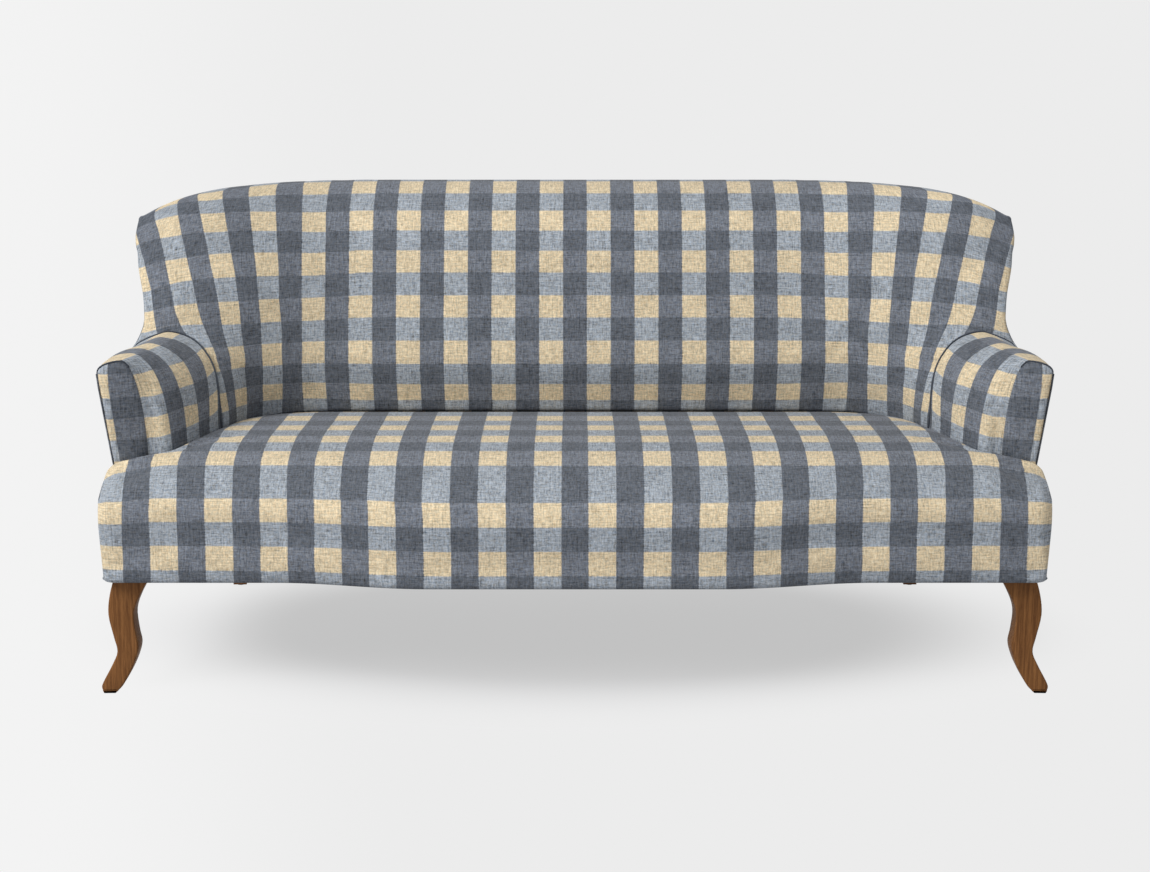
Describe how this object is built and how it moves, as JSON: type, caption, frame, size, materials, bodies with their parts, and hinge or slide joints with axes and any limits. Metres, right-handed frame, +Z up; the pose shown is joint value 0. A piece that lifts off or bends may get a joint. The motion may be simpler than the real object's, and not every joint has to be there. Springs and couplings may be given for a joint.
{
  "type": "three-seater sofa",
  "caption": "Tight-seat sofa with a bow front, a raked back that wraps into wings, rolled-over arms and S-shaped front legs.",
  "frame": {"origin": "on the floor under the middle of the sofa's bounding box", "axes": "+X along the width, to the right seen from the front; +Y from the front to the back; +Z up"},
  "size_m": [1.896, 0.8698, 0.942],
  "materials": {
    "check_cloth": "woven check",
    "dust_cloth": "matt",
    "frame_timber": "sawn",
    "spring_wire": "oil tempered",
    "zinc": "zinc plated",
    "hessian": "coarse weave",
    "webbing": "coarse weave",
    "leg_wood": "satin lacquer",
    "glide_plastic": "matt"
  },
  "bodies": {
    "root": {"seat_pad": "check_cloth", "inside_back_pad": "check_cloth", "left_arm_pad": "check_cloth", "right_arm_pad": "check_cloth", "left_arm_facing": "check_cloth", "right_arm_facing": "check_cloth", "left_outside_arm": "check_cloth", "right_outside_arm": "check_cloth", "outside_back": "check_cloth", "dust_cover": "dust_cloth", "front_seat_rail": "frame_timber", "back_seat_rail": "frame_timber", "left_side_rail": "frame_timber", "right_side_rail": "frame_timber", "left_corner_rail": "frame_timber", "right_corner_rail": "frame_timber", "left_seat_stretcher": "frame_timber", "right_seat_stretcher": "frame_timber", "corner_blocks": "frame_timber", "block_screws": "zinc", "left_back_post": "frame_timber", "right_back_post": "frame_timber", "centre_back_upright": "frame_timber", "crest_rail": "frame_timber", "lower_back_rail": "frame_timber", "left_shoulder_rail": "frame_timber", "right_shoulder_rail": "frame_timber", "left_wing_post": "frame_timber", "right_wing_post": "frame_timber", "left_arm_stump": "frame_timber", "right_arm_stump": "frame_timber", "left_arm_rail": "frame_timber", "right_arm_rail": "frame_timber", "left_lower_arm_rail": "frame_timber", "right_lower_arm_rail": "frame_timber", "seat_springs": "spring_wire", "spring_clips": "zinc", "cross_wires": "spring_wire", "seat_hessian": "hessian", "back_webbing": "webbing", "left_front_leg": "leg_wood", "right_front_leg": "leg_wood", "left_rear_leg": "leg_wood", "right_rear_leg": "leg_wood", "leg_plates": "zinc", "plate_screws": "zinc", "leg_bolts": "zinc", "foot_glides": "glide_plastic"}
  },
  "joints": []
}
